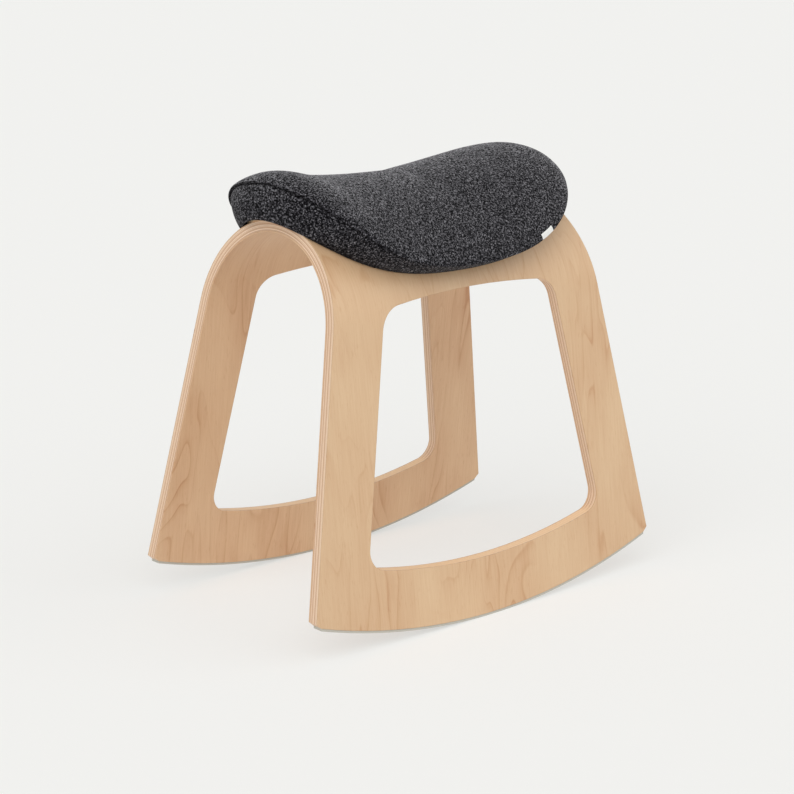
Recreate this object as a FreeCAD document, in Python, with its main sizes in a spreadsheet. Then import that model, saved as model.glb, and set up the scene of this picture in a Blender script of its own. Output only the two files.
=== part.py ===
"""Rocking saddle stool: a bent plywood sheet on two rocker edges, with a felt saddle pad over the bend.

Millimetres. X runs along the bend, which is the way the stool rocks, Y across the two side panels, Z up.
The origin is on the floor, midway between the points where the two rockers touch it.
"""
import FreeCAD
import Part
import Sketcher
import math
import os

doc = FreeCAD.newDocument("saddle_stool")

# Driving sizes, in millimetres and degrees
SIZES = {
    "rocker_length": 560,        # between the two end corners of a rocker, before they are clipped
    "rocker_radius": 902,        # of the rocking face, under the strips
    "strip_thickness": 3,        # anti-slip strip under a rocker
    "strip_inset": 0.6,          # strip set back from each face of the sheet
    "ridge_height": 490.8,       # top of the bend above the floor
    "arch_radius": 128.3,        # outer face of the bend
    "leg_splay": 6.96,           # lean of a side panel, seen from the end
    "end_slant": 10.67,          # lean of a panel's end, seen from the side
    "crest_blend": 33.6,         # height over which an end turns upright below the ridge
    "clip_length": 7.5,          # clipped lower corner of a panel, along the rocker
    "clip_height": 6.5,          # and up its end
    "core_thickness": 12,        # pressed core leaves
    "face_thickness": 1.5,       # each face leaf
    "leg_width": 75.3,           # wood between a panel's end and its window, measured level
    "sill_height": 73.2,         # lowest point of the window
    "sill_radius": 813,
    "head_height": 403.1,        # highest point of the window
    "head_radius": 1084,
    "sill_corner": 25,           # rounded corners of the window
    "head_corner": 32,
    "pad_half_length": 211,      # pad on the sheet, from its middle to an end
    "pad_half_girth": 138.6,     # and to a side, measured round the bend
    "pad_squareness": 2.42,      # 2 is an ellipse, more is squarer
    "end_flare": 7,              # how far the seam stands out past the pad's foot, at the ends
    "side_flare": 3.2,           # and at the sides
    "end_band": 42,              # height of the side band at the ends
    "side_band": 33.7,           # and at the sides
    "dip_thickness": 38.8,       # pad in the middle of the saddle
    "front_slope": 41.4,         # pad halfway from there to its front crown, at the -X end
    "rear_slope": 47,            # and to its rear crown, at the +X end
    "front_rise": 46.3,          # pad three quarters of the way to its front crown
    "rear_rise": 52,             # and to its rear crown
    "front_crown": 55.5,         # pad at its raised front end
    "rear_crown": 54,            # and at its rear end
    "front_reach": 184,          # from the middle to the highest point of the front end
    "rear_reach": 160,           # and of the rear end
    "felt_thickness": 3,
    "base_thickness": 6,         # curved board under the foam
    "bolt_spacing": 230,         # between the two bolts, along the ridge
    "bolt_radius": 3,
    "bolt_length": 20,
    "bolt_head_radius": 5.25,
    "bolt_head_height": 3.3,
    "bolt_face_radius": 3.7,     # flat of the domed head
    "bolt_rim_height": 1.3,      # straight side of the head
    "bolt_socket_radius": 2,
    "bolt_socket_depth": 2,
    "bolt_clearance": 0.3,       # round the shank, in the sheet and the washer
    "washer_radius": 8,
    "washer_thickness": 1.6,
    "nut_barrel_radius": 4,
    "nut_flange_radius": 8.5,
    "nut_flange_thickness": 1.5,
    "tag_length": 24,            # sewn tag, along the seam
    "tag_width": 6.5,            # and in from it over the felt
    "tag_thickness": 0.8,
    "tag_inset": 0.5,            # from the seam
    "tag_turn": -61,             # its place round the rim, from the +X end
}

sheet = doc.addObject("Spreadsheet::Sheet", "Sizes")
for row, (alias, number) in enumerate(SIZES.items(), start=1):
    sheet.set(f"A{row}", alias)
    sheet.set(f"B{row}", str(number))
    sheet.setAlias(f"B{row}", alias)
doc.recompute()


def value(expression):
    """The number that an expression in the sheet's sizes comes to."""
    return float(sheet.evalExpression(expression))


def size(alias):
    return value(f"Sizes.{alias}")


# Expressions that several pieces share
AXIS_HEIGHT = "(Sizes.ridge_height - Sizes.arch_radius)"
SHEET_THICKNESS = "(Sizes.core_thickness + 2 * Sizes.face_thickness)"
HALF_ROCKER = "(Sizes.rocker_length / 2)"
CORNER_HEIGHT = f"(Sizes.rocker_radius - sqrt(Sizes.rocker_radius^2 - {HALF_ROCKER}^2))"
END_LEAN = "tan(Sizes.end_slant * 1 deg)"
PANEL_LEAN = "tan(Sizes.leg_splay * 1 deg)"
WOOD_RADIUS = "(Sizes.rocker_radius - Sizes.strip_thickness)"
RUN_OUT = "(Sizes.rocker_length / 10)"   # how far blanks and cutting forms run on past the wood


def end_at(height):
    """Half length of a panel at a height, along its straight slanted end."""
    return f"({HALF_ROCKER} - (({height}) - {CORNER_HEIGHT}) * {END_LEAN})"


def panel_at(height, depth):
    """Distance from the middle to a panel, a depth under its outer face, at a height below the bend."""
    across = f"((Sizes.arch_radius - {depth}) / cos(Sizes.leg_splay * 1 deg))"
    return f"({across} + ({AXIS_HEIGHT} - ({height})) * {PANEL_LEAN})"


def arc_height(radius, centre, across, side):
    """Height of an arc about a centre on the Z axis: side -1 is its lower half and +1 its upper half."""
    return f"({centre} + {side} * sqrt(({radius})^2 - ({across})^2))"


def new_body(name):
    return doc.addObject("PartDesign::Body", name)


def new_sketch(body, plane, name):
    """A sketch on one of the body's own origin planes."""
    sketch = body.newObject("Sketcher::SketchObject", name)
    planes = [feature for feature in body.Origin.OriginFeatures if feature.Role == plane]
    sketch.AttachmentSupport = (planes[0], "")
    sketch.MapMode = "FlatFace"
    return sketch


def draw(sketch, corners, arcs=None):
    """Draws a closed outline through corners, given as pairs of expressions, and binds it to them.

    arcs maps the number of a side to its radius and its turn: 1 where it curves to the left, -1 to the right.
    """
    arcs = arcs or {}
    places = [FreeCAD.Vector(value(x), value(y), 0) for x, y in corners]
    sides = []
    for number, start in enumerate(places):
        end = places[(number + 1) % len(places)]
        if number not in arcs:
            sides.append((sketch.addGeometry(Part.LineSegment(start, end), False), 1, 2))
            continue
        radius = value(arcs[number][0])
        turn = arcs[number][1]
        half = (end - start) * 0.5
        left = FreeCAD.Vector(-half.y, half.x, 0).normalize()
        centre = start + half + left * turn * math.sqrt(radius ** 2 - half.Length ** 2)
        first, last = (start, end) if turn == 1 else (end, start)
        angles = [math.atan2(point.y - centre.y, point.x - centre.x) for point in (first, last)]
        circle = Part.Circle(centre, FreeCAD.Vector(0, 0, 1), radius)
        arc = sketch.addGeometry(Part.ArcOfCircle(circle, *angles), False)
        sides.append((arc, 1, 2) if turn == 1 else (arc, 2, 1))
        rule = sketch.addConstraint(Sketcher.Constraint("Radius", arc, radius))
        sketch.setExpression(f"Constraints[{rule}]", arcs[number][0])
    for number, (side, start, end) in enumerate(sides):
        following = sides[(number + 1) % len(sides)]
        sketch.addConstraint(Sketcher.Constraint("Coincident", side, end, following[0], following[1]))
        for kind, place, expression in zip(("DistanceX", "DistanceY"), places[number], corners[number]):
            rule = sketch.addConstraint(Sketcher.Constraint(kind, -1, 1, side, start, place))
            sketch.setExpression(f"Constraints[{rule}]", expression)


def frame_outline(across, low, high):
    """Corners of a rectangle that lies well outside the wood."""
    return [(f"-{across}", low), (across, low), (across, high), (f"-{across}", high)]


def pad_through(body, sketch, length):
    """Pads a sketch to both sides of its plane."""
    pad = body.newObject("PartDesign::Pad", f"{body.Name}_pad")
    pad.Profile = sketch
    pad.SideType = "Symmetric"
    pad.setExpression("Length", length)
    doc.recompute()


def cut_through(body, sketch, name):
    """Cuts a sketch right through the body, to both sides of the sketch, and checks that wood was removed."""
    before = body.Shape.Volume
    pocket = body.newObject("PartDesign::Pocket", name)
    pocket.Profile = sketch
    pocket.SideType = "Symmetric"
    pocket.Type = "ThroughAll"
    doc.recompute()
    if body.Shape.Volume >= before:
        raise RuntimeError(f"{name} cut nothing")


# Bent sheet: one profile and one set of cuts, used for the core and for both face leaves
def bent_profile(sketch, outer_depth, inner_depth):
    """Section across the sheet between two depths under its outer face, run on below the floor."""
    low = f"(-1 * {RUN_OUT})"
    corners = []
    for depth in (outer_depth, inner_depth):
        radius = f"(Sizes.arch_radius - {depth})"
        across = f"({radius} * cos(Sizes.leg_splay * 1 deg))"
        up = f"({AXIS_HEIGHT} + {radius} * sin(Sizes.leg_splay * 1 deg))"
        foot = panel_at(low, depth)
        run = [(foot, low), (across, up), (f"(-1 * {across})", up), (f"(-1 * {foot})", low)]
        corners += run if depth == outer_depth else run[::-1]
    outer_radius = f"(Sizes.arch_radius - {outer_depth})"
    inner_radius = f"(Sizes.arch_radius - {inner_depth})"
    draw(sketch, corners, {1: (outer_radius, 1), 5: (inner_radius, -1)})


def side_outline(sketch):
    """What is cut away round a panel, seen from the side: past its ends and under its rockers."""
    far = "Sizes.rocker_length"
    draw(sketch, frame_outline(far, "(-1 * Sizes.rocker_length)", "(2 * Sizes.ridge_height)"))
    clip_x = f"({HALF_ROCKER} - Sizes.clip_length)"
    clip_z = arc_height(WOOD_RADIUS, "Sizes.rocker_radius", clip_x, -1)
    end_low = f"({CORNER_HEIGHT} + Sizes.clip_height)"
    end_high = "(Sizes.ridge_height - Sizes.crest_blend)"
    blend_radius = "(Sizes.crest_blend / sin(Sizes.end_slant * 1 deg))"
    crest = f"({end_at(end_high)} - {blend_radius} * (1 - cos(Sizes.end_slant * 1 deg)))"
    over = f"(Sizes.ridge_height + {RUN_OUT})"
    right = [(clip_x, clip_z), (end_at(end_low), end_low), (end_at(end_high), end_high),
             (crest, "Sizes.ridge_height"), (crest, over)]
    left = [(f"(-1 * {x})", z) for x, z in reversed(right)]
    draw(sketch, right + left, {2: (blend_radius, -1), 6: (blend_radius, -1), 9: (WOOD_RADIUS, 1)})


def window_corner(centre, radius, corner, side):
    """Rounded corner of the window between a slanted side and an arc about a centre on the Z axis.

    Gives the places where the rounding leaves the arc and where it meets the side. side is -1 for the lower
    root, at the sill, and 1 for the upper one, at the head.
    """
    lean = "Sizes.end_slant * 1 deg"
    reach = f"({end_at('0')} - Sizes.leg_width - {corner} / cos({lean}))"
    left_over = f"({radius} - {corner})"
    middle = f"({reach} * {END_LEAN} + {centre})"
    square = f"(1 + {END_LEAN}^2)"
    root = f"sqrt({middle}^2 - {square} * ({reach}^2 + {centre}^2 - {left_over}^2))"
    height = f"(({middle} + {side} * {root}) / {square})"
    across = f"({reach} - {height} * {END_LEAN})"
    on_arc = (f"({across} * {radius} / {left_over})",
              f"({centre} + ({height} - {centre}) * {radius} / {left_over})")
    on_side = (f"({across} + {corner} * cos({lean}))", f"({height} + {corner} * sin({lean}))")
    return on_arc, on_side


def window_outline(sketch):
    sill_arc, sill_side = window_corner("(Sizes.sill_height + Sizes.sill_radius)", "Sizes.sill_radius",
                                        "Sizes.sill_corner", -1)
    head_arc, head_side = window_corner("(Sizes.head_height - Sizes.head_radius)", "Sizes.head_radius",
                                        "Sizes.head_corner", 1)
    right = [sill_arc, sill_side, head_side, head_arc]
    left = [(f"(-1 * {x})", z) for x, z in reversed(right)]
    sill_round = ("Sizes.sill_corner", 1)
    head_round = ("Sizes.head_corner", 1)
    draw(sketch, right + left, {0: sill_round, 2: head_round, 3: ("Sizes.head_radius", 1),
                                4: head_round, 6: sill_round, 7: ("Sizes.sill_radius", 1)})


def bent_leaf(name, outer_depth, inner_depth):
    """One layer of the bent sheet, cut to the side outline with its windows."""
    body = new_body(f"{name}_blank")
    profile = new_sketch(body, "YZ_Plane", f"{name}_profile")
    bent_profile(profile, outer_depth, inner_depth)
    pad_through(body, profile, f"(Sizes.rocker_length + 2 * {RUN_OUT})")
    outline = new_sketch(body, "XZ_Plane", f"{name}_outline")
    side_outline(outline)
    cut_through(body, outline, f"{name}_trim")
    window = new_sketch(body, "XZ_Plane", f"{name}_window")
    window_outline(window)
    cut_through(body, window, f"{name}_windows")
    return body


# Rocker strips
def rocker_strip(name, side):
    """Strip bonded under one rocker, as wide as the sheet less a small inset."""
    end = f"({HALF_ROCKER} - Sizes.clip_length)"
    under = arc_height("Sizes.rocker_radius", "Sizes.rocker_radius", end, -1)
    over = arc_height(WOOD_RADIUS, "Sizes.rocker_radius", end, -1)
    body = new_body(name)
    band = new_sketch(body, "XZ_Plane", f"{name}_band")
    corners = [(f"(-1 * {end})", under), (end, under), (end, over), (f"(-1 * {end})", over)]
    draw(band, corners, {0: ("Sizes.rocker_radius", 1), 2: (WOOD_RADIUS, -1)})
    low = f"(-1 * {RUN_OUT})"
    high = f"({CORNER_HEIGHT} + {RUN_OUT})"
    outside = f"({panel_at(low, 0)} + {RUN_OUT})"
    pad_through(body, band, f"(2 * {outside})")
    across = new_sketch(body, "YZ_Plane", f"{name}_across")
    draw(across, frame_outline(f"({outside} + {RUN_OUT})", f"({low} - {RUN_OUT})", f"({high} + {RUN_OUT})"))
    inner = f"({SHEET_THICKNESS} - Sizes.strip_inset)"
    slab = [(panel_at(low, "Sizes.strip_inset"), low), (panel_at(high, "Sizes.strip_inset"), high),
            (panel_at(high, inner), high), (panel_at(low, inner), low)]
    draw(across, [(f"({side} * {y})", z) for y, z in slab])
    cut_through(body, across, f"{name}_sides")
    return body


# Saddle pad: crowned forms and rims, which the felt, foam and base are cut from
SEAM_HALF = "(Sizes.pad_half_length + Sizes.end_flare)"
NARROWEST = 0.2    # least share of the pad's girth that a crown section is drawn for
INNER_CHORDS = 4   # chords on each side of the ridge, in the sections of faces that stay inside the pad


def crown_stations(end):
    """Distance from the middle, and thickness of the pad on its centre line, from the middle to one end."""
    reach = f"Sizes.{end}_reach"
    crown = f"Sizes.{end}_crown"
    past = f"(({SEAM_HALF} + Sizes.end_flare - {reach}) / ({SEAM_HALF} - {reach}))"
    return [(f"({reach} / 2)", f"Sizes.{end}_slope"),
            (f"({reach} * 3 / 4)", f"Sizes.{end}_rise"),
            (reach, crown),
            (f"({SEAM_HALF} + Sizes.end_flare)", f"({crown} - ({crown} - Sizes.end_band) * {past}^3)")]


def crown_section(sketch, station, thickness, lowered, inner):
    """Arc over the ridge that comes down to the seam on both sides and runs on past it, closed by lines.

    An inner section has chords in place of its arc.
    """
    share = f"min({station} / {SEAM_HALF}; 1)"
    girth = f"max((1 - {share}^Sizes.pad_squareness)^(1 / Sizes.pad_squareness); {NARROWEST})"
    band = f"(Sizes.side_band + (Sizes.end_band - Sizes.side_band) * {share}^2)"
    angle = f"(Sizes.pad_half_girth / Sizes.arch_radius * {girth} * 1 rad)"
    ridge = f"(Sizes.arch_radius + {thickness} - {lowered})"
    rim = f"(Sizes.arch_radius + min({band}; {thickness}) - {lowered})"
    across = f"({rim} * sin({angle}))"
    drop = f"({ridge} - {rim} * cos({angle}))"
    radius = f"(({drop}^2 + {across}^2) / (2 * {drop}))"
    sweep = f"asin(({across} + {radius}) / (2 * {radius}))"
    steps = range(INNER_CHORDS, -INNER_CHORDS - 1, -1) if inner else (INNER_CHORDS, -INNER_CHORDS)
    corners = []
    for step in steps:
        turn = f"({step} / {INNER_CHORDS} * {sweep})"
        height = f"({AXIS_HEIGHT} + {ridge} - {radius} * (1 - cos({turn})))"
        corners.append((f"({radius} * sin({turn}))", height))
    corners += [(corners[-1][0], AXIS_HEIGHT), (corners[0][0], AXIS_HEIGHT)]
    draw(sketch, corners, {} if inner else {0: (radius, 1)})


def crown_form(name, lowered, inner=False):
    """Loft along the bend under the pad's crown, lowered by the felt for what lies under it.

    An inner one runs straight from section to section: it is for faces that stay inside the pad.
    """
    body = new_body(name)
    stations = [(f"(-1 * {x})", x, thickness) for x, thickness in reversed(crown_stations("front"))]
    stations.append(("0", "0", "Sizes.dip_thickness"))
    stations += [(x, x, thickness) for x, thickness in crown_stations("rear")]
    sections = []
    for number, (place, station, thickness) in enumerate(stations):
        sketch = new_sketch(body, "YZ_Plane", f"{name}_section_{number}")
        sketch.setExpression("AttachmentOffset.Base.z", place)
        crown_section(sketch, station, thickness, lowered, inner)
        sections.append(sketch)
    doc.recompute()
    loft = body.newObject("PartDesign::AdditiveLoft", f"{name}_loft")
    loft.Profile = sections[0]
    loft.Sections = sections[1:]
    loft.Ruled = inner
    doc.recompute()
    return body


RIM_ARCS = 12     # arcs that the outline of the rim is drawn with


def rim_point(turn, height, inset):
    """Point on the pad's rim, a height above the sheet and an inset inside the felt's outer face."""
    power = 2 / size("pad_squareness")
    along = math.copysign(abs(math.cos(turn)) ** power, math.cos(turn))
    round_bend = math.copysign(abs(math.sin(turn)) ** power, math.sin(turn))
    half_length = size("pad_half_length") - inset + size("end_flare") * height / size("end_band")
    half_girth = size("pad_half_girth") - inset + size("side_flare") * height / size("side_band")
    angle = half_girth * round_bend / size("arch_radius")
    radius = size("arch_radius") + height
    up = value(AXIS_HEIGHT) + radius * math.cos(angle)
    return FreeCAD.Vector(half_length * along, radius * math.sin(angle), up)


def rim_form(name, inset, inner=False):
    """Everything inside the pad's rim: its side follows the rim out past the crowns and closes far off.

    An inner one has chords for arcs: it is for faces that stay inside the pad.
    """
    wires = []
    for height in (-value(SHEET_THICKNESS), size("front_crown") + size("rear_crown") - size("dip_thickness")):
        points = [rim_point(math.pi * number / RIM_ARCS, height, inset) for number in range(2 * RIM_ARCS + 1)]
        arcs = [Part.Arc(*points[start:start + 3]).toShape() for start in range(0, 2 * RIM_ARCS, 2)]
        wires.append(Part.makePolygon(points) if inner else Part.Wire(arcs))
    axis = FreeCAD.Vector(0, 0, value(AXIS_HEIGHT))
    above = axis + FreeCAD.Vector(0, 0, size("rocker_length"))
    form = doc.addObject("Part::Feature", name)
    form.Shape = Part.makeLoft([Part.Vertex(axis), *wires, Part.Vertex(above)], True, True)
    return form


def bend_form(name, radius):
    """Round bar along the axis of the bend."""
    bar = doc.addObject("Part::Cylinder", name)
    bar.setExpression("Radius", radius)
    bar.setExpression("Height", "Sizes.rocker_length")
    bar.Placement.Rotation = FreeCAD.Rotation(FreeCAD.Vector(0, 1, 0), 90)
    bar.setExpression("Placement.Base.x", "-1 * Sizes.rocker_length / 2")
    bar.setExpression("Placement.Base.z", AXIS_HEIGHT)
    return bar


def combine(kind, name, base, tool):
    result = doc.addObject(f"Part::{kind}", name)
    result.Base = base
    result.Tool = tool
    return result


# Fasteners: one of each is turned about the Z axis, then set out along the ridge
def turned_form(name, corners):
    """Solid turned about the Z axis from an outline of radii and heights."""
    body = new_body(name)
    sketch = new_sketch(body, "XZ_Plane", f"{name}_outline")
    draw(sketch, corners)
    doc.recompute()
    turning = body.newObject("PartDesign::Revolution", f"{name}_turning")
    turning.Profile = sketch
    turning.ReferenceAxis = (sketch, ["V_Axis"])
    turning.Angle = 360
    doc.recompute()
    return body


def set_out(name, form):
    """The same form at both bolts, as a group of separate solids."""
    copies = []
    for end in (-1, 1):
        copy = form.Shape.copy()
        copy.translate(FreeCAD.Vector(end * size("bolt_spacing") / 2, 0, value(AXIS_HEIGHT)))
        copies.append(copy)
    group = doc.addObject("Part::Feature", name)
    group.Shape = Part.makeCompound(copies)
    return group


def ring(inner, outer, low, high):
    return [(inner, low), (outer, low), (outer, high), (inner, high)]


INNER_RADIUS = f"(Sizes.arch_radius - {SHEET_THICKNESS})"
WASHER_TOP = f"sqrt({INNER_RADIUS}^2 - Sizes.washer_radius^2)"
WASHER_UNDER = f"({WASHER_TOP} - Sizes.washer_thickness)"
BASE_TOP = "(Sizes.arch_radius + Sizes.base_thickness)"
CLEAR_RADIUS = "(Sizes.bolt_radius + Sizes.bolt_clearance)"
FLANGE_TOP = f"sqrt({BASE_TOP}^2 - Sizes.nut_flange_radius^2)"
FLANGE_UNDER = f"({FLANGE_TOP} - Sizes.nut_flange_thickness)"


def bolt_corners():
    head_under = f"({WASHER_UNDER} - Sizes.bolt_head_height)"
    socket_top = f"({head_under} + Sizes.bolt_socket_depth)"
    tip = f"({WASHER_UNDER} + Sizes.bolt_length)"
    return [("Sizes.bolt_socket_radius", head_under), ("Sizes.bolt_face_radius", head_under),
            ("Sizes.bolt_head_radius", f"({WASHER_UNDER} - Sizes.bolt_rim_height)"),
            ("Sizes.bolt_head_radius", WASHER_UNDER), ("Sizes.bolt_radius", WASHER_UNDER),
            ("Sizes.bolt_radius", tip), ("0", tip),
            ("0", socket_top), ("Sizes.bolt_socket_radius", socket_top)]


def nut_corners():
    return [("Sizes.bolt_radius", "Sizes.arch_radius"), ("Sizes.nut_barrel_radius", "Sizes.arch_radius"),
            ("Sizes.nut_barrel_radius", FLANGE_UNDER), ("Sizes.nut_flange_radius", FLANGE_UNDER),
            ("Sizes.nut_flange_radius", FLANGE_TOP), ("Sizes.bolt_radius", FLANGE_TOP)]


def nut_hole_corners():
    """Stepped hole that a nut fills, run out past both faces of the base."""
    return [("0", INNER_RADIUS), ("Sizes.nut_barrel_radius", INNER_RADIUS),
            ("Sizes.nut_barrel_radius", FLANGE_UNDER), ("Sizes.nut_flange_radius", FLANGE_UNDER),
            ("Sizes.nut_flange_radius", f"(2 * {BASE_TOP})"), ("0", f"(2 * {BASE_TOP})")]


# Sewn tag, caught in the seam and laid over the felt
TURN_STEP = math.radians(1)


def tag_outline(name):
    """Block that holds the tag's length and width and goes through the felt where the tag lies on it."""
    turn = math.radians(size("tag_turn"))
    share = abs(math.cos(turn)) ** (2 / size("pad_squareness"))
    band = size("side_band") + (size("end_band") - size("side_band")) * share ** 2
    here, ahead, behind = [rim_point(turn + step, band, 0) for step in (0, TURN_STEP, -TURN_STEP)]
    along = (ahead - behind).normalize()
    up = (rim_point(turn, size("front_crown"), 0) - here).normalize()
    inward = up.cross(along).normalize()
    block = doc.addObject("Part::Box", name)
    block.setExpression("Length", "Sizes.tag_length")
    block.setExpression("Width", "Sizes.tag_width")
    block.setExpression("Height", "2 * Sizes.dip_thickness")
    corner = here - along * (size("tag_length") / 2) + inward * size("tag_inset") - up * size("dip_thickness")
    block.Placement = FreeCAD.Placement(corner, FreeCAD.Rotation(along, inward, up, "XYZ"))
    return block


# Assembly
bolt_hole = turned_form("bolt_hole", ring("0", CLEAR_RADIUS, f"({INNER_RADIUS} / 2)", f"(2 * {BASE_TOP})"))
bolt_holes = set_out("bolt_holes", bolt_hole)
nut_hole = turned_form("nut_hole", nut_hole_corners())
nut_holes = set_out("nut_holes", nut_hole)

pieces = {}
outer_glue = "Sizes.face_thickness"
inner_glue = "(Sizes.face_thickness + Sizes.core_thickness)"
leaves = {
    "outer_face_veneer": bent_leaf("outer_face_veneer", "0", outer_glue),
    "core_plies": bent_leaf("core_plies", outer_glue, inner_glue),
    "inner_face_veneer": bent_leaf("inner_face_veneer", inner_glue, SHEET_THICKNESS),
}
for name, blank in leaves.items():
    pieces[name] = combine("Cut", name, blank, bolt_holes)

pieces["left_rocker_strip"] = rocker_strip("left_rocker_strip", 1)
pieces["right_rocker_strip"] = rocker_strip("right_rocker_strip", -1)

crown_outside = crown_form("crown_outside", "0")
crown_inside = crown_form("crown_inside", "Sizes.felt_thickness", inner=True)
crown_raised = crown_form("crown_raised", "(-1 * Sizes.tag_thickness)")
rim_outside = rim_form("rim_outside", 0)
rim_inside = rim_form("rim_inside", size("felt_thickness"), inner=True)
sheet_bar = bend_form("sheet_bar", "Sizes.arch_radius")
base_bar = bend_form("base_bar", BASE_TOP)

pad_space = combine("Cut", "pad_space", rim_outside, sheet_bar)
filled_space = combine("Cut", "filled_space", rim_inside, sheet_bar)
foam_space = combine("Cut", "foam_space", rim_inside, base_bar)
band_space = combine("Cut", "band_space", pad_space, filled_space)
felt_skin = combine("Cut", "felt_skin", crown_outside, crown_inside)
tag_skin = combine("Cut", "tag_skin", crown_raised, crown_outside)
base_shell = combine("Common", "base_shell", filled_space, base_bar)
pieces["felt_top"] = combine("Common", "felt_top", felt_skin, rim_outside)
pieces["felt_band"] = combine("Common", "felt_band", band_space, crown_inside)
pieces["foam_core"] = combine("Common", "foam_core", foam_space, crown_inside)
pieces["seat_base"] = combine("Cut", "seat_base", base_shell, nut_holes)
pieces["sewn_tag"] = combine("Common", "sewn_tag", tag_skin, tag_outline("tag_block"))

pieces["seat_bolts"] = set_out("seat_bolts", turned_form("bolt_form", bolt_corners()))
washer = turned_form("washer_form", ring(CLEAR_RADIUS, "Sizes.washer_radius", WASHER_UNDER, WASHER_TOP))
pieces["bolt_washers"] = set_out("bolt_washers", washer)
pieces["tee_nuts"] = set_out("tee_nuts", turned_form("nut_form", nut_corners()))
doc.recompute()

# Every object has to be sound before anything is written
for item in doc.Objects:
    if "Invalid" in item.State or "Error" in item.State:
        raise RuntimeError(f"{item.Name} failed: {item.State}")
for name, piece in pieces.items():
    if piece.Shape.isNull() or not piece.Shape.isValid():
        raise RuntimeError(f"{name} has no sound shape")

os.makedirs("parts", exist_ok=True)
for name, piece in pieces.items():
    piece.Label = name
    piece.Shape.exportStep(f"parts/{name}.step")
    print(name, len(piece.Shape.Solids), "solids", round(piece.Shape.Volume / 1000, 1), "cm3")
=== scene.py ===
"""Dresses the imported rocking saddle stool: bent birch plywood under a felt-covered saddle pad."""

import math

import bmesh
import bpy
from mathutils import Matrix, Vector
from mathutils.bvhtree import BVHTree


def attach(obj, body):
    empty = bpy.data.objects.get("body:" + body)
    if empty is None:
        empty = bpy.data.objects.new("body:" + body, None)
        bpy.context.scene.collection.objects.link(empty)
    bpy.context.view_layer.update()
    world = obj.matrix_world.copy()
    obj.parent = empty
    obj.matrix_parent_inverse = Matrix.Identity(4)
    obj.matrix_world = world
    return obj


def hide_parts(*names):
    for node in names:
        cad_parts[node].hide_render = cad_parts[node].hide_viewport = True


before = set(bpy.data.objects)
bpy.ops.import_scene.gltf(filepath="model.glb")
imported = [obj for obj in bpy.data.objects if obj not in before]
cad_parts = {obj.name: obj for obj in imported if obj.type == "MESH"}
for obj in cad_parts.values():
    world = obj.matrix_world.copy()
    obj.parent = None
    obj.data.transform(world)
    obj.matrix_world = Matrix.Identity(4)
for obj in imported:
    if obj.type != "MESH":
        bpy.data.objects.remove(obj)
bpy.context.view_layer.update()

# Sizes of the bent sheet, in millimetres, as the solids have them
MM = 0.001
ARCH_RADIUS = 128.3              # outer face of the bend
AXIS_HEIGHT = 362.5              # middle of the bend's circle, above the floor
LEG_SPLAY = math.radians(6.96)   # lean of a side panel
SHEET = 15
LEAF = 1.5

# Sizes of the pad, in millimetres: its foot as the solids have it, its ends more upright
PAD_HALF_LENGTH = 211
PAD_HALF_GIRTH = 138.6           # measured round the bend
PAD_SQUARENESS = 2.42            # 2 is an ellipse, more is squarer
END_FLARE = 0.8                  # how far the band leans out over its height, at the ends
SIDE_FLARE = 3.2                 # and at the sides
END_BAND = 42                    # height over which it does, at the ends
SIDE_BAND = 33.7                 # and at the sides
SEAM_HALF = PAD_HALF_LENGTH + END_FLARE
# Thickness of the pad on its centre line, from the front end to the rear
RIDGE = [(-213, 48.8), (-184, 55.9), (-138, 46.4), (-92, 41.8), (-46, 39.4), (0, 39), (46, 43), (92, 48.6),
         (138, 54), (170, 55.4), (190, 53.6), (213, 47.2)]
# Height of the rolled edge of the pad's top above the sheet, from the front end to the rear
RIM = [(-213, 48.4), (-203, 52), (-180, 52), (-150, 49.2), (-122, 44.4), (-80, 39.8), (0, 37.5),
       (109, 39.8), (164, 42.8), (213, 46.2)]
LEAST_GIRTH = 0.2                # share of the girth that the top still spans at the very ends
LEAST_CROWN = 0.01               # least rise of the centre line over the rolled edge


# Materials
def linear(code):
    """Linear RGBA of an sRGB hex colour."""
    channels = [int(code[start:start + 2], 16) / 255 for start in (1, 3, 5)]
    return [channel / 12.92 if channel <= 0.04045 else ((channel + 0.055) / 1.055) ** 2.4
            for channel in channels] + [1.0]


def grey(level_painted_light):
    """RGBA of a grey, by its linear level."""
    return (level_painted_light, level_painted_light, level_painted_light, 1)


def per_size(*sizes):
    """Scale at which a pattern has these sizes, in millimetres, one for each way that it runs."""
    return tuple(1 / (size * MM) for size in sizes)


def add_node(tree, kind, inputs=None, stops=None, **settings):
    """Adds a node with its settings, gives each input a link or a value, and sets a ramp's stops."""
    node = tree.nodes.new(kind)
    for name, setting in settings.items():
        setattr(node, name, setting)
    for key, given in (inputs or {}).items():
        if isinstance(given, bpy.types.NodeSocket):
            tree.links.new(given, node.inputs[key])
        else:
            node.inputs[key].default_value = given
    for number, (position, colour) in enumerate(stops or []):
        elements = node.color_ramp.elements
        element = elements[number] if number < 2 else elements.new(position)
        element.position = position
        element.color = colour
    return node


def new_material(name):
    """New material, with its node tree and its shader."""
    material = bpy.data.materials.new(name)
    material.use_nodes = True
    return material, material.node_tree, material.node_tree.nodes["Principled BSDF"]


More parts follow.
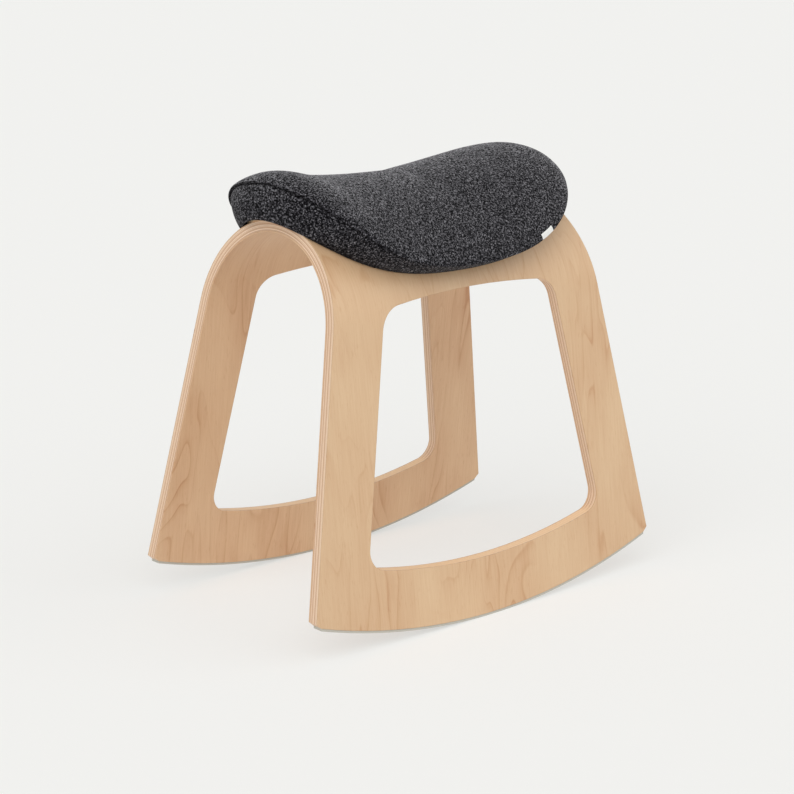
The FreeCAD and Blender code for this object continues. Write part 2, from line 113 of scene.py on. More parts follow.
def sheet_place(tree):
    """Sockets for a place in the bent sheet, in metres: across its grain, along it, and depth.

    The run along the grain starts at the ridge and follows the bend, and depth is from the outer face.
    """
    place = add_node(tree, "ShaderNodeTexCoord").outputs["Object"]
    parts = add_node(tree, "ShaderNodeSeparateXYZ", {0: place}).outputs
    aside = add_node(tree, "ShaderNodeMath", {0: parts["Y"]}, operation="ABSOLUTE").outputs[0]
    over = add_node(tree, "ShaderNodeMath", {0: parts["Z"], 1: AXIS_HEIGHT * MM},
                    operation="SUBTRACT").outputs[0]
    corner = add_node(tree, "ShaderNodeCombineXYZ", {0: aside, 1: over}).outputs[0]
    outward = (math.cos(LEG_SPLAY), math.sin(LEG_SPLAY), 0)
    downward = (math.sin(LEG_SPLAY), -math.cos(LEG_SPLAY), 0)
    out = add_node(tree, "ShaderNodeVectorMath", {0: corner, 1: outward},
                   operation="DOT_PRODUCT").outputs["Value"]
    down = add_node(tree, "ShaderNodeVectorMath", {0: corner, 1: downward},
                    operation="DOT_PRODUCT").outputs["Value"]
    bent = add_node(tree, "ShaderNodeMath", {0: down, 1: 0.0}, operation="MINIMUM").outputs[0]
    straight = add_node(tree, "ShaderNodeMath", {0: down, 1: 0.0}, operation="MAXIMUM").outputs[0]
    spoke = add_node(tree, "ShaderNodeCombineXYZ", {0: out, 1: bent}).outputs[0]
    radius = add_node(tree, "ShaderNodeVectorMath", {0: spoke}, operation="LENGTH").outputs["Value"]
    depth = add_node(tree, "ShaderNodeMath", {0: ARCH_RADIUS * MM, 1: radius},
                     operation="SUBTRACT").outputs[0]
    turn = add_node(tree, "ShaderNodeMath", {0: bent, 1: out}, operation="ARCTAN2").outputs[0]
    quarter = ARCH_RADIUS * MM * (math.pi / 2 - LEG_SPLAY)
    round_bend = add_node(tree, "ShaderNodeMath", {0: turn, 1: ARCH_RADIUS * MM, 2: quarter},
                          operation="MULTIPLY_ADD").outputs[0]
    run = add_node(tree, "ShaderNodeMath", {0: round_bend, 1: straight}, operation="ADD").outputs[0]
    side = add_node(tree, "ShaderNodeMath", {0: parts["Y"]}, operation="SIGN").outputs[0]
    along = add_node(tree, "ShaderNodeMath", {0: run, 1: side}, operation="MULTIPLY").outputs[0]
    return parts["X"], along, depth


def birch_veneer(name, light, brown, layer):
    """Rotary-cut birch, sanded and clear lacquered.

    The eye gets pale straight-fibred wood with soft brown growth lines in long nested loops, broad areas of
    slightly warmer tone, and a satin gloss.
    """
    material, tree, shader = new_material(name)
    across, along, _ = sheet_place(tree)
    flat = add_node(tree, "ShaderNodeCombineXYZ", {0: across, 1: along, 2: layer}).outputs[0]
    # Growth lines lie 15 to 60 mm apart and run three to five times as far along the grain as across it
    loops = add_node(tree, "ShaderNodeVectorMath", {0: flat, 1: per_size(95, 420) + (1,)},
                     operation="MULTIPLY").outputs[0]
    field = add_node(tree, "ShaderNodeTexNoise", {"Vector": loops, "Scale": 1.0, "Detail": 2.0,
                                                  "Roughness": 0.5, "Distortion": 0.7}).outputs[0]
    years = 12.0
    rings = add_node(tree, "ShaderNodeMath", {0: field, 1: years}, operation="MULTIPLY").outputs[0]
    ring = add_node(tree, "ShaderNodeMath", {0: rings}, operation="FRACT").outputs[0]
    late_wood = [(0.0, grey(0)), (1.0, grey(0)), (0.5, grey(0.03)), (0.82, grey(0.35)), (0.94, grey(1))]
    line = add_node(tree, "ShaderNodeValToRGB", {0: ring}, late_wood).outputs[0]
    # Warmer areas are 70 mm wide and 160 mm long, and the growth lines show most in them
    patches = add_node(tree, "ShaderNodeVectorMath", {0: flat, 1: per_size(70, 160) + (3,)},
                       operation="MULTIPLY").outputs[0]
    patch = add_node(tree, "ShaderNodeTexNoise", {"Vector": patches, "Scale": 1.0,
                                                  "Detail": 2.0}).outputs[0]
    shown = add_node(tree, "ShaderNodeMapRange", {0: patch, 1: 0.43, 2: 0.7, 3: 0.05, 4: 0.62}).outputs[0]
    figure = add_node(tree, "ShaderNodeMath", {0: line, 1: shown}, operation="MULTIPLY").outputs[0]
    # Fibres are a tenth of a millimetre wide: they are drawn 2 mm wide, or they would not show
    fibres = add_node(tree, "ShaderNodeVectorMath", {0: flat, 1: per_size(2, 60) + (7,)},
                      operation="MULTIPLY").outputs[0]
    fibre = add_node(tree, "ShaderNodeTexNoise", {"Vector": fibres, "Scale": 1.0, "Detail": 3.0,
                                                  "Roughness": 0.6}).outputs[0]
    # Pores are a tenth of a millimetre wide: they are drawn as flecks 1.8 mm wide, or they would not show
    flecks = add_node(tree, "ShaderNodeVectorMath", {0: flat, 1: per_size(1.8, 11) + (11,)},
                      operation="MULTIPLY").outputs[0]
    fleck = add_node(tree, "ShaderNodeTexNoise", {"Vector": flecks, "Scale": 1.0, "Detail": 1.0}).outputs[0]
    dash = add_node(tree, "ShaderNodeMapRange", {0: fleck, 1: 0.62, 2: 0.78, 3: 0.0, 4: 0.22}).outputs[0]
    streak = add_node(tree, "ShaderNodeMapRange", {0: fibre, 1: 0.3, 2: 0.72, 3: 0.0, 4: 0.22}).outputs[0]
    tone = add_node(tree, "ShaderNodeMapRange", {0: patch, 1: 0.3, 2: 0.7, 3: 0.0, 4: 0.3}).outputs[0]
    first = add_node(tree, "ShaderNodeMath", {0: figure, 1: streak}, operation="ADD").outputs[0]
    second = add_node(tree, "ShaderNodeMath", {0: dash, 1: tone}, operation="ADD").outputs[0]
    amount = add_node(tree, "ShaderNodeMath", {0: first, 1: second}, operation="ADD",
                      use_clamp=True).outputs[0]
    colour = add_node(tree, "ShaderNodeMix", {0: amount, 6: linear(light), 7: linear(brown)},
                      data_type="RGBA").outputs[2]
    tree.links.new(colour, shader.inputs["Base Color"])
    gloss = add_node(tree, "ShaderNodeMapRange", {0: fibre, 1: 0.3, 2: 0.7, 3: 0.4, 4: 0.52}).outputs[0]
    tree.links.new(gloss, shader.inputs["Roughness"])
    shader.inputs["IOR"].default_value = 1.5
    shader.inputs["Coat Weight"].default_value = 0.2
    shader.inputs["Coat Roughness"].default_value = 0.3
    # Sanding has eased the edges of the sheet
    eased = add_node(tree, "ShaderNodeBevel", {"Radius": 0.9 * MM}, samples=6).outputs[0]
    bump = add_node(tree, "ShaderNodeBump", {"Strength": 0.12, "Distance": 0.15 * MM, "Height": fibre,
                                             "Normal": eased}).outputs[0]
    tree.links.new(bump, shader.inputs["Normal"])
    return material


def birch_edge():
    """Edge of pressed birch plywood, sanded and lacquered.

    The eye gets pale stripes, one for each leaf, and darker ones where a leaf shows its end grain.
    """
    material, tree, shader = new_material("birch_plywood_sanded_edge")
    across, along, depth = sheet_place(tree)
    share = add_node(tree, "ShaderNodeMath", {0: depth, 1: SHEET * MM}, operation="DIVIDE").outputs[0]
    pale = linear("#f4d9be")
    mid = linear("#e9c9ab")
    dark = linear("#d0a685")
    leaves = [pale, pale, mid, dark, pale, mid, dark, pale, dark, pale]
    stops = [(number * LEAF / SHEET, leaf) for number, leaf in enumerate(leaves)]
    stripes = add_node(tree, "ShaderNodeValToRGB", {0: share}, stops)
    stripes.color_ramp.interpolation = "CONSTANT"
    flat = add_node(tree, "ShaderNodeCombineXYZ", {0: across, 1: along, 2: depth}).outputs[0]
    wide = add_node(tree, "ShaderNodeVectorMath", {0: flat, 1: per_size(9, 9, LEAF)},
                    operation="MULTIPLY").outputs[0]
    grain = add_node(tree, "ShaderNodeTexNoise", {"Vector": wide, "Scale": 1.0, "Detail": 3.0}).outputs[0]
    worn = add_node(tree, "ShaderNodeMapRange", {0: grain, 1: 0.3, 2: 0.7, 3: 0.0, 4: 0.35}).outputs[0]
    leaf = add_node(tree, "ShaderNodeMath", {0: depth, 1: LEAF * MM / 2}, operation="PINGPONG").outputs[0]
    # Glue lines are 0.1 mm thick: they are drawn 0.3 mm thick, or they would not show
    glue = add_node(tree, "ShaderNodeMapRange",
                    {0: leaf, 1: 0.05 * MM, 2: 0.3 * MM, 3: 0.62, 4: 0.0}).outputs[0]
    aged = add_node(tree, "ShaderNodeMix", {0: worn, 6: stripes.outputs[0], 7: linear("#dfbb98")},
                    data_type="RGBA").outputs[2]
    striped = add_node(tree, "ShaderNodeMix", {0: glue, 6: aged, 7: linear("#8a6450")},
                       data_type="RGBA").outputs[2]
    # The stripes show on the upright edges of the sheet, and fade along the level ones, which are drawn a
    # lighter peach: painted light, for sills catching light from above
    facing = add_node(tree, "ShaderNodeNewGeometry").outputs["True Normal"]
    endways = add_node(tree, "ShaderNodeSeparateXYZ", {0: facing}).outputs["X"]
    sideways = add_node(tree, "ShaderNodeMath", {0: endways}, operation="ABSOLUTE").outputs[0]
    level_painted_light = add_node(tree, "ShaderNodeMapRange", {0: sideways, 1: 0.25, 2: 0.75, 3: 0.75, 4: 0.0}).outputs[0]
    colour = add_node(tree, "ShaderNodeMix", {0: level_painted_light, 6: striped, 7: linear("#f6d0a4")},
                      data_type="RGBA").outputs[2]
    tree.links.new(colour, shader.inputs["Base Color"])
    shader.inputs["Roughness"].default_value = 0.5
    bump = add_node(tree, "ShaderNodeBump", {"Strength": 0.1, "Distance": 0.2 * MM,
                                             "Height": grain}).outputs[0]
    tree.links.new(bump, shader.inputs["Normal"])
    return material


def wool_felt():
    """Milled wool felt, dyed in the fibre and mixed charcoal.

    The eye gets near-black wool with fine paler fibres lying every way, a matt nap and a soft light rim.
    """
    material, tree, shader = new_material("milled_wool_felt_charcoal")
    place = add_node(tree, "ShaderNodeTexCoord").outputs["Object"]
    # Fibres are 0.03 mm thick: they are drawn 1.2 mm thick and 4 mm long, or they would not show
    fibre_scale = per_size(1.2, 4, 2)
    strands = []
    for angle in (0.3, 1.3, 2.4):
        turned = add_node(tree, "ShaderNodeMapping", {"Vector": place, "Rotation": (angle / 2, 0.4, angle),
                                                      "Scale": fibre_scale}).outputs[0]
        strand = add_node(tree, "ShaderNodeTexNoise", {"Vector": turned, "Scale": 1.0, "Detail": 1.0,
                                                       "Roughness": 0.5, "Distortion": 0.4})
        strands.append(strand.outputs[0])
    pair = add_node(tree, "ShaderNodeMath", {0: strands[0], 1: strands[1]}, operation="MAXIMUM").outputs[0]
    tangle = add_node(tree, "ShaderNodeMath", {0: pair, 1: strands[2]}, operation="MAXIMUM").outputs[0]
    # Tufts of fibre ends are 2 mm across
    speckle = add_node(tree, "ShaderNodeTexNoise", {"Vector": place, "Scale": 1 / (2 * MM),
                                                    "Detail": 1.0}).outputs[0]
    mixed = add_node(tree, "ShaderNodeMix", {0: 0.4, 2: tangle, 3: speckle}, data_type="FLOAT").outputs[0]
    wools = [(0.5, linear("#030304")), (0.70, linear("#828186")), (0.535, linear("#17161a")),
             (0.57, linear("#2d2c30")), (0.61, linear("#47464a")), (0.65, linear("#626165"))]
    colour = add_node(tree, "ShaderNodeValToRGB", {0: mixed}, wools).outputs[0]
    # Little light gets into the nap at the seam and where the felt meets the wood: this shade is painted,
    # darkening the colour and the sheen where the occlusion node finds surfaces within 22 mm
    open_air = add_node(tree, "ShaderNodeAmbientOcclusion", {"Distance": 22 * MM}, samples=8).outputs["AO"]
    painted_shade_factor = add_node(tree, "ShaderNodeMapRange", {0: open_air, 1: 0.4, 2: 0.9, 3: 0.3, 4: 1.0}).outputs[0]
    shaded = add_node(tree, "ShaderNodeMix", {0: painted_shade_factor, 6: linear("#0d0c0e"), 7: colour},
                      data_type="RGBA").outputs[2]
    tree.links.new(shaded, shader.inputs["Base Color"])
    nap = add_node(tree, "ShaderNodeMapRange", {0: mixed, 1: 0.5, 2: 0.66, 3: 0.04, 4: 0.95}).outputs[0]
    # Painted light: the sheen is strong where the felt faces up and weak on the band, standing in for light
    # falling from above
    facing = add_node(tree, "ShaderNodeTexCoord").outputs["Normal"]
    upward = add_node(tree, "ShaderNodeSeparateXYZ", {0: facing}).outputs["Z"]
    painted_top_light = add_node(tree, "ShaderNodeMapRange", {0: upward, 1: 0.0, 2: 0.5, 3: 0.25, 4: 1.0}).outputs[0]
    painted_top_sheen = add_node(tree, "ShaderNodeMath", {0: nap, 1: painted_top_light}, operation="MULTIPLY").outputs[0]
    sheen_with_painted_light = add_node(tree, "ShaderNodeMath", {0: painted_top_sheen, 1: painted_shade_factor}, operation="MULTIPLY").outputs[0]
    tree.links.new(sheen_with_painted_light, shader.inputs["Sheen Weight"])
    shader.inputs["Sheen Roughness"].default_value = 0.49
    shader.inputs["Sheen Tint"].default_value = linear("#efeef3")
    shader.inputs["Roughness"].default_value = 0.95
    shader.inputs["Specular IOR Level"].default_value = 0.05
    bump = add_node(tree, "ShaderNodeBump", {"Strength": 0.5, "Distance": 0.5 * MM,
                                             "Height": mixed}).outputs[0]
    tree.links.new(bump, shader.inputs["Normal"])
    return material


def strip_rubber():
    """Thin sheet rubber, cut in strips: a matt pale grey with a fine grit."""
    material, tree, shader = new_material("cut_sheet_rubber_grey")
    place = add_node(tree, "ShaderNodeTexCoord").outputs["Object"]
    # Grit is 0.2 mm across: it is drawn 2 mm across, or it would not show
    grit = add_node(tree, "ShaderNodeTexNoise", {"Vector": place, "Scale": 1 / (2 * MM),
                                                 "Detail": 3.0}).outputs[0]
    colour = add_node(tree, "ShaderNodeMix", {0: grit, 6: linear("#b3b0a6"), 7: linear("#c6c3b9")},
                      data_type="RGBA").outputs[2]
    tree.links.new(colour, shader.inputs["Base Color"])
    shader.inputs["Roughness"].default_value = 0.8
    bump = add_node(tree, "ShaderNodeBump", {"Strength": 0.3, "Distance": 0.2 * MM,
                                             "Height": grit}).outputs[0]
    tree.links.new(bump, shader.inputs["Normal"])
    return material


def tag_cloth():
    """Woven polyester ribbon: near white, with a fine even rib across it."""
    material, tree, shader = new_material("woven_ribbon_white")
    place = add_node(tree, "ShaderNodeTexCoord").outputs["Object"]
    # Ribs are 0.3 mm apart: they are drawn 0.8 mm apart, or they would not show
    rib_scale = 1 / (2 * math.pi * 0.8 * MM)
    ribs = add_node(tree, "ShaderNodeTexWave", {"Vector": place, "Scale": rib_scale, "Distortion": 0.3},
                    bands_direction="DIAGONAL").outputs["Fac"]
    colour = add_node(tree, "ShaderNodeMix", {0: ribs, 6: linear("#e4e4e1"), 7: linear("#f1f1ee")},
                      data_type="RGBA").outputs[2]
    tree.links.new(colour, shader.inputs["Base Color"])
    shader.inputs["Roughness"].default_value = 0.8
    bump = add_node(tree, "ShaderNodeBump", {"Strength": 0.3, "Distance": 0.2 * MM,
                                             "Height": ribs}).outputs[0]
    tree.links.new(bump, shader.inputs["Normal"])
    return material


def base_board():
    """Moulded birch board, left raw: pale wood with a straight grain."""
    material, tree, shader = new_material("moulded_birch_board_raw")
    place = add_node(tree, "ShaderNodeTexCoord").outputs["Object"]
    long = add_node(tree, "ShaderNodeVectorMath", {0: place, 1: per_size(70, 3, 3)},
                    operation="MULTIPLY").outputs[0]
    grain = add_node(tree, "ShaderNodeTexNoise", {"Vector": long, "Scale": 1.0, "Detail": 3.0}).outputs[0]
    colour = add_node(tree, "ShaderNodeMix", {0: grain, 6: linear("#d9bd9a"), 7: linear("#c09a70")},
                      data_type="RGBA").outputs[2]
    tree.links.new(colour, shader.inputs["Base Color"])
    shader.inputs["Roughness"].default_value = 0.7
    return material


def zinc_steel():
    """Zinc-plated steel, passivated: a soft bluish metal with a fine mottled grain."""
    material, tree, shader = new_material("zinc_plated_steel")
    place = add_node(tree, "ShaderNodeTexCoord").outputs["Object"]
    crystal = add_node(tree, "ShaderNodeTexNoise", {"Vector": place, "Scale": 1 / (1.5 * MM),
                                                    "Detail": 4.0}).outputs[0]
    colour = add_node(tree, "ShaderNodeMix", {0: crystal, 6: linear("#a9acb0"), 7: linear("#c9ccd0")},
                      data_type="RGBA").outputs[2]
    tree.links.new(colour, shader.inputs["Base Color"])
    shader.inputs["Metallic"].default_value = 1.0
    rough = add_node(tree, "ShaderNodeMapRange", {0: crystal, 1: 0.3, 2: 0.7, 3: 0.28, 4: 0.45}).outputs[0]
    tree.links.new(rough, shader.inputs["Roughness"])
    return material


def dress(material, *nodes):
    """Gives CAD nodes a material."""
    for name in nodes:
        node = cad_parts[name]
        if not node.material_slots:
            node.data.materials.append(material)
        for slot in node.material_slots:
            slot.material = material


dress(birch_veneer("birch_veneer_lacquered_outer", "#dcbc96", "#c08f66", 0.3), "outer_face_veneer")
# The inner face's pale colour is a little lighter than the outer one's: painted light, lifting the shaded
# inside of the bend
dress(birch_veneer("birch_veneer_lacquered_inner", "#e1be98", "#bf8c63", 1.7), "inner_face_veneer")
dress(birch_edge(), "core_plies")
dress(strip_rubber(), "left_rocker_strip", "right_rocker_strip")
dress(base_board(), "seat_base")
dress(zinc_steel(), "seat_bolts", "bolt_washers", "tee_nuts")


# Saddle pad
def smooth(points, place):
    """Value at a place, on a smooth curve through points."""
    place = min(max(place, points[0][0]), points[-1][0])
    start = max(number for number, (begin, _) in enumerate(points[:-1]) if begin <= place)
    begin, low = points[start]
    end, high = points[start + 1]
    before = points[max(start - 1, 0)]
    after = points[min(start + 2, len(points) - 1)]
    span = end - begin
    slope_low = (high - before[1]) / (end - before[0]) * span
    slope_high = (after[1] - low) / (after[0] - begin) * span
    share = (place - begin) / span
    rest = 1 - share
    return (low * (1 + 2 * share) * rest ** 2 + slope_low * share * rest ** 2
            + high * share ** 2 * (3 - 2 * share) - slope_high * share ** 2 * rest)


def crown_height(x, angle):
    """Height of the pad's top above the sheet, at a place along the bend and an angle from its ridge."""
    share = min(abs(x) / SEAM_HALF, 1)
    girth = max((1 - share ** PAD_SQUARENESS) ** (1 / PAD_SQUARENESS), LEAST_GIRTH)
    thickness = smooth(RIDGE, x)
    band = min(smooth(RIM, x), thickness - LEAST_CROWN)
    reach = PAD_HALF_GIRTH / ARCH_RADIUS * girth
    ridge = ARCH_RADIUS + thickness
    rim = ARCH_RADIUS + band
    across = rim * math.sin(reach)
    drop = ridge - rim * math.cos(reach)
    radius = (drop ** 2 + across ** 2) / (2 * drop)
    centre = ridge - radius
    return centre * math.cos(angle) + math.sqrt(radius ** 2 - (centre * math.sin(angle)) ** 2) - ARCH_RADIUS


def rim_plan(turn, height):
    """Place along the bend and angle from its ridge, of a point on the pad's side at a height."""
    power = 2 / PAD_SQUARENESS
    along = math.copysign(abs(math.cos(turn)) ** power, math.cos(turn))
    aside = math.copysign(abs(math.sin(turn)) ** power, math.sin(turn))
    half_length = PAD_HALF_LENGTH + END_FLARE * height / END_BAND
    half_girth = PAD_HALF_GIRTH + SIDE_FLARE * height / SIDE_BAND
    return half_length * along, half_girth * aside / ARCH_RADIUS


def over_sheet(x, angle, height):
    """Point at a height above the sheet, in metres."""
    radius = ARCH_RADIUS + height
    return Vector((x, radius * math.sin(angle), AXIS_HEIGHT + radius * math.cos(angle))) * MM


def off_sheet(point):
    """Way from the bend's axis to a point, straight off the sheet."""
    return Vector((0, point.y, point.z - AXIS_HEIGHT * MM))


def even_turns(count):
    """Turns round the rim that lie the same distance apart along it."""
    steps = 4000
    fine = [2 * math.pi * number / steps for number in range(steps + 1)]
    points = [over_sheet(*rim_plan(turn, 0), 0) for turn in fine]
    lengths = [0.0]
    for first, second in zip(points, points[1:]):
        lengths.append(lengths[-1] + (second - first).length)
    turns = []
    place = 0
    for number in range(count):
        while lengths[place] < lengths[-1] * number / count:
            place += 1
        turns.append(fine[place])
    return turns


ROUND = 200            # points round the rim
TOP_RINGS = 40         # rings from the middle of the top to its rolled edge
SWELL = 1.2            # how much the stuffing lifts the felt, in millimetres
SWELL_FADE = 6         # how late that fades towards the rolled edge
EVENING = 25           # times that the felt's move is averaged with that of the points round it
CLOTH_FRAMES = 20
EDGE = 3.4             # rolled edge of the top panel, measured in from the rim
ROLL = 1.2             # how far the top rolls down towards that edge
ROLL_WIDTH = 12        # and over what width
# Rolled edge and seam below it: height from the rolled edge and how far out, in millimetres
LIP = [(0.0, -2.2), (-0.3, -0.9), (-1.0, 0.2), (-2.0, 0.7), (-2.9, 0.3), (-3.5, -1.5), (-4.2, -3.4),
       (-5.0, -2.2), (-6.2, -0.9)]
# Band below the seam: share of its height, and how far out at the sides and at the ends
BAND = [(0.88, -0.5, 0.9), (0.72, -0.1, 2.6), (0.54, 0.2, 3.5), (0.36, 0.3, 3.4), (0.2, 0.2, 2.2),
        (0.1, 0.0, 1.2), (0.045, -0.5, 0.1), (0.015, -1.2, -1.0)]
# How far the foot lies outside the straight band, round the rim from the rear: degrees and millimetres
FOOT = [(0, 3), (30, 3), (90, 0.8), (150, 5), (180, 4), (206, 0.6), (235, 2), (270, 0.8), (325, 0), (360, 3)]
FOOT_WIDTH = 2.6       # felt turned in under the band
FOOT_HEIGHT = 0.3      # its clearance over the sheet
FOOT_LEAN = 0.1        # how far its inner side leans in
BOARD_TOP = 6.3        # underside of the pad, clear of the board
UNDERSIDE = (0.9, 0.7, 0.5, 0.3, 0.1)   # its rings, as shares of its outline
SEAM_ROUNDS = 12       # rounds in which the seam's height settles


def seam_height(turn):
    """Height above the sheet at which the pad's top meets its side."""
    height = SIDE_BAND
    for _ in range(SEAM_ROUNDS):
        height = crown_height(*rim_plan(turn, height))
    return height


def seam_point(turn):
    """Point where the pad's top meets its side."""
    height = seam_height(turn)
    return over_sheet(*rim_plan(turn, height), height)


def pad_mesh():
    """Closed crowned pad: top, rolled edge, seam, bulging band, and an underside that clears the board."""
    turns = even_turns(ROUND)
    heights = [seam_height(turn) for turn in turns]
    seam = [rim_plan(turn, height) for turn, height in zip(turns, heights)]
    rings = []
    for ring in range(1, TOP_RINGS + 1):
        row = []
        for x, angle in seam:
            reach = math.hypot(x, angle * ARCH_RADIUS)
            share = ring / TOP_RINGS * (1 - EDGE / reach)
            rolled = max(1 - reach * (1 - share) / ROLL_WIDTH, 0)
            lowered = SWELL * (1 - (ring / TOP_RINGS) ** SWELL_FADE) + ROLL * rolled ** 2
            height = crown_height(x * share, angle * share) - lowered
            row.append(over_sheet(x * share, angle * share, height))
        rings.append(row)

    def side_row(rows):
        """Ring of points on the side, each at a height above the sheet and pushed out from it."""
        bases = [over_sheet(*rim_plan(turn, height), height) for turn, (height, _) in zip(turns, rows)]
        row = []
        for number, base in enumerate(bases):
            forward = bases[(number + 1) % ROUND] - bases[number - 1]
            outward = forward.cross(off_sheet(base)).normalized()
            height, out = rows[number]
            reach = smooth(FOOT, math.degrees(turns[number])) * max(1 - height / heights[number], 0)
            row.append(base + outward * (out + reach) * MM)
        return row

    rings += [side_row([(height - ROLL + drop, out) for height in heights]) for drop, out in LIP]
    band_drop = ROLL - LIP[-1][0]
    ends = [math.cos(turn) ** 2 for turn in turns]
    for share, side_out, end_out in BAND:
        rings.append(side_row([((height - band_drop) * share, side_out + (end_out - side_out) * end)
                               for height, end in zip(heights, ends)]))
    rings.append(side_row([(FOOT_HEIGHT, -FOOT_WIDTH)] * ROUND))
    rings.append(side_row([(BOARD_TOP, -FOOT_WIDTH - FOOT_LEAN)] * ROUND))
    foot = [rim_plan(turn, BOARD_TOP) for turn in turns]
    for share in UNDERSIDE:
        rings.append([over_sheet(x * share, angle * share, BOARD_TOP) for x, angle in foot])

    work = bmesh.new()
    rows = [[work.verts.new(point) for point in row] for row in rings]
    top = work.verts.new(over_sheet(0, 0, crown_height(0, 0) - SWELL))
    bottom = work.verts.new(over_sheet(0, 0, BOARD_TOP))
    for number in range(ROUND):
        after = (number + 1) % ROUND
        work.faces.new((top, rows[0][number], rows[0][after]))
        for upper, lower in zip(rows, rows[1:]):
            work.faces.new((upper[number], lower[number], lower[after], upper[after]))
        work.faces.new((rows[-1][number], bottom, rows[-1][after]))
    bmesh.ops.recalc_face_normals(work, faces=work.faces)
    mesh = bpy.data.meshes.new("saddle_pad")
    work.to_mesh(mesh)
    work.free()
    mesh.shade_smooth()
    return mesh


def add_piece(name, mesh, material):
    """Adds a piece of one material to the scene, riding on the stool."""
    piece = bpy.data.objects.new(name, mesh)
    mesh.materials.append(material)
    bpy.context.scene.collection.objects.link(piece)
    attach(piece, "root")
    return piece


def swell(piece, free, limit):
    """Presses the felt out from inside as cloth, with all but its free points held.

    Each point's move is limited and then averaged with those round it.
    """
    held = piece.vertex_groups.new(name="held")
    held.add([number for number in range(len(piece.data.vertices)) if number not in free], 1.0, "REPLACE")
    cloth = piece.modifiers.new("cloth", "CLOTH")
    cloth.settings.quality = 5
    cloth.settings.mass = 0.3
    cloth.settings.tension_stiffness = 5
    cloth.settings.compression_stiffness = 5
    cloth.settings.shear_stiffness = 2.5
    cloth.settings.bending_stiffness = 0.3
    cloth.settings.use_pressure = True
    cloth.settings.uniform_pressure_force = 200
    cloth.settings.vertex_group_mass = "held"
    cloth.settings.effector_weights.gravity = 0
    cloth.point_cache.frame_start = 1
    cloth.point_cache.frame_end = CLOTH_FRAMES
    for number in range(1, CLOTH_FRAMES + 1):
        bpy.context.scene.frame_set(number)
    shaped = piece.evaluated_get(bpy.context.evaluated_depsgraph_get())
    moved = [vertex.co.copy() for vertex in shaped.data.vertices]
    piece.modifiers.remove(cloth)
    bpy.context.scene.frame_set(1)
    near = {number: [] for number in free}
    for edge in piece.data.edges:
        for here, there in (edge.vertices, reversed(edge.vertices)):
            if here in near:
                near[here].append(there)
    steps = {}
    for number in free:
        step = moved[number] - piece.data.vertices[number].co
        steps[number] = step * min(1, limit / max(step.length, 1e-9))
    for _ in range(EVENING):
        steps = {number: sum((steps.get(other, Vector()) for other in around), Vector()) / len(around)
                 for number, around in near.items()}
    for number, step in steps.items():
        piece.data.vertices[number].co += step


pad = add_piece("saddle_pad", pad_mesh(), wool_felt())
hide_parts("felt_top", "felt_band", "foam_core")
# The rings of the top inside its rolled edge come first in the mesh, and its middle comes last but one
top_points = set(range((TOP_RINGS - 1) * ROUND)) | {len(pad.data.vertices) - 2}
swell(pad, top_points, SWELL * MM)
finer = pad.modifiers.new("finer", "SUBSURF")
finer.levels = 1
finer.render_levels = 1


# Sewn tag, bare, with its outer edge along the seam, in millimetres
TAG_LENGTH = 24
TAG_WIDTH = 6.5
TAG_THICKNESS = 0.7
TAG_INSET = 0.5                   # from the seam
TAG_LIFT = 0.15                   # over the felt
TAG_TURN = math.radians(-61)      # its place round the rim, from the rear
TAG_COLUMNS = 16
TAG_ROWS = 5
SMALL_TURN = 0.01                 # step that gives the seam's direction
ABOVE = 20                        # height over the seam from which the felt is looked for


def tag_mesh():
    """Thin strip that lies on the felt, from the seam inwards."""
    surface = BVHTree.FromPolygons([vertex.co for vertex in pad.data.vertices],
                                   [face.vertices for face in pad.data.polygons])
    turn_per_metre = SMALL_TURN / (seam_point(TAG_TURN + SMALL_TURN) - seam_point(TAG_TURN)).length
    work = bmesh.new()
    under = []
    over = []
    for row in range(TAG_ROWS + 1):
        for column in range(TAG_COLUMNS + 1):
            turn = TAG_TURN + (column / TAG_COLUMNS - 0.5) * TAG_LENGTH * MM * turn_per_metre
            start = seam_point(turn)
            ahead = seam_point(turn + SMALL_TURN)
            upward = off_sheet(start).normalized()
            inward = upward.cross(ahead - start).normalized()
            inset = (TAG_INSET + row / TAG_ROWS * TAG_WIDTH) * MM
            place, normal, _, _ = surface.ray_cast(start + inward * inset + upward * ABOVE * MM, -upward)
            under.append(work.verts.new(place + normal * TAG_LIFT * MM))
            over.append(work.verts.new(place + normal * (TAG_LIFT + TAG_THICKNESS) * MM))
    width = TAG_COLUMNS + 1
    for row in range(TAG_ROWS):
        for column in range(TAG_COLUMNS):
            corner = row * width + column
            loop = (corner, corner + 1, corner + width + 1, corner + width)
            work.faces.new([over[index] for index in loop])
            work.faces.new([under[index] for index in reversed(loop)])
    border = [edge for edge in work.edges if len(edge.link_faces) == 1 and edge.verts[0] in over]
    for edge in border:
        first, second = edge.verts
        work.faces.new((first, second, under[over.index(second)], under[over.index(first)]))
    bmesh.ops.recalc_face_normals(work, faces=work.faces)
    mesh = bpy.data.meshes.new("bare_tag")
    work.to_mesh(mesh)
    work.free()
    return mesh


tag = add_piece("bare_tag", tag_mesh(), tag_cloth())
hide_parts("sewn_tag")
tag_edge = tag.modifiers.new("soft_edge", "BEVEL")
tag_edge.width = 0.2 * MM
tag_edge.segments = 2


# Stage: floor, light and camera
FLOOR_REACH = 60       # metres from the middle of the floor to its edge
FLOOR_GLOW = 0.2       # share of the floor's light that is its own, as it lights the stool
FLOOR_SEEN = 0.55      # and as it is seen, which makes it as pale as the backdrop and keeps its shadow
SKY = 0.5              # share of the light that comes from all round


def seen_rays(tree):
    """1 for rays that reach the eye straight, by a gloss or through something clear."""
    path = add_node(tree, "ShaderNodeLightPath").outputs
    straight = add_node(tree, "ShaderNodeMath", {0: path["Is Camera Ray"], 1: path["Is Glossy Ray"]},
                        operation="MAXIMUM").outputs[0]
    return add_node(tree, "ShaderNodeMath", {0: straight, 1: path["Is Transmission Ray"]},
                    operation="MAXIMUM").outputs[0]


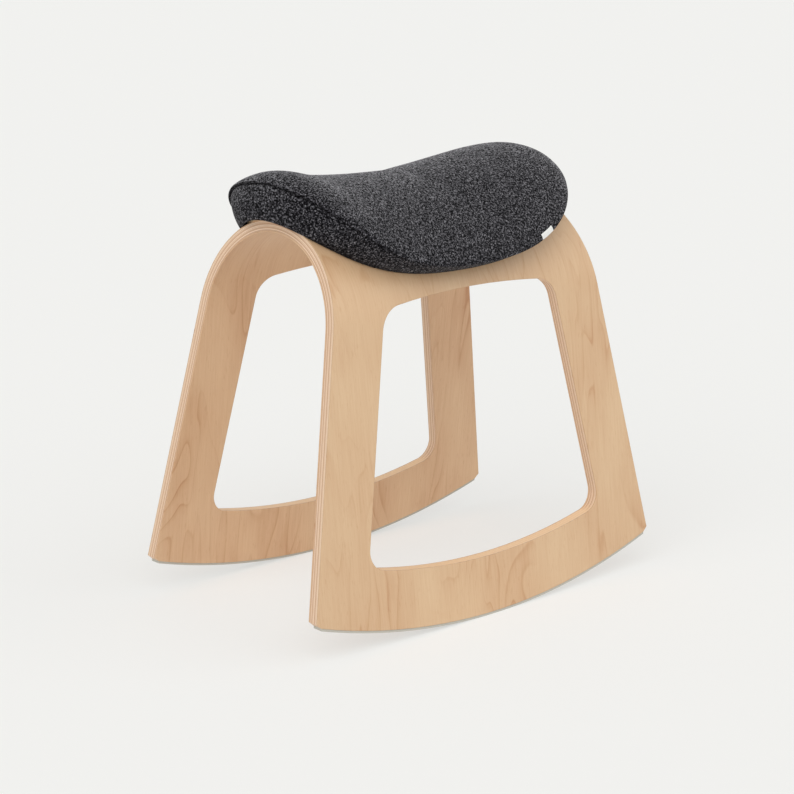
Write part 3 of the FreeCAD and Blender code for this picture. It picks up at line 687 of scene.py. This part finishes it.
def pale_floor():
    """Seamless studio floor, matt painted: one pale grey that keeps the stool's soft shadow."""
    material, tree, shader = new_material("matt_painted_studio_floor")
    shader.inputs["Base Color"].default_value = linear("#f3f3f1")
    shader.inputs["Roughness"].default_value = 1.0
    shader.inputs["Specular IOR Level"].default_value = 0.0
    share = add_node(tree, "ShaderNodeMapRange", {0: seen_rays(tree), 3: FLOOR_GLOW,
                                                  4: FLOOR_SEEN}).outputs[0]
    paper = add_node(tree, "ShaderNodeEmission", {"Color": linear("#f8f8f6"), "Strength": 1.0}).outputs[0]
    both = add_node(tree, "ShaderNodeMixShader", {0: share, 1: shader.outputs[0], 2: paper}).outputs[0]
    tree.links.new(both, tree.nodes["Material Output"].inputs["Surface"])
    return material


floor_mesh = bpy.data.meshes.new("floor")
floor_corners = [(-FLOOR_REACH, -FLOOR_REACH, 0), (FLOOR_REACH, -FLOOR_REACH, 0),
                 (FLOOR_REACH, FLOOR_REACH, 0), (-FLOOR_REACH, FLOOR_REACH, 0)]
floor_mesh.from_pydata(floor_corners, [], [(0, 1, 2, 3)])
floor_mesh.materials.append(pale_floor())
floor = bpy.data.objects.new("floor", floor_mesh)
bpy.context.scene.collection.objects.link(floor)

world = bpy.data.worlds.new("studio")
world.use_nodes = True
bpy.context.scene.world = world
sky = world.node_tree
strength = add_node(sky, "ShaderNodeMapRange", {0: seen_rays(sky), 3: SKY, 4: 1.0}).outputs[0]
backdrop = sky.nodes["Background"]
backdrop.inputs["Color"].default_value = linear("#f2f2f0")
sky.links.new(strength, backdrop.inputs["Strength"])


def add_sun(name, azimuth, elevation, level_painted_light, softness):
    """Soft lamp from a direction, whose level is the light that it puts on the floor."""
    lamp = bpy.data.lights.new(name, "SUN")
    lamp.energy = level_painted_light * math.pi / math.sin(math.radians(elevation))
    lamp.angle = math.radians(softness)
    sun = bpy.data.objects.new(name, lamp)
    sun.rotation_euler = (math.radians(90 - elevation), 0, math.radians(azimuth))
    bpy.context.scene.collection.objects.link(sun)


add_sun("key", -62, 48, 0.3, 60)
add_sun("front", 25, 38, 0.13, 70)
add_sun("fill", -66, 12, 0.026, 60)

camera_data = bpy.data.cameras.new("camera")
camera_data.lens = 102.46
camera_data.sensor_width = 36
camera = bpy.data.objects.new("camera", camera_data)
camera.location = (-1.8278, -2.0629, 0.9663)
camera.rotation_euler = (math.radians(90 - 14.742), 0, math.radians(-41.407))
bpy.context.scene.collection.objects.link(camera)
bpy.context.scene.camera = camera
bpy.context.scene.view_settings.view_transform = "Standard"
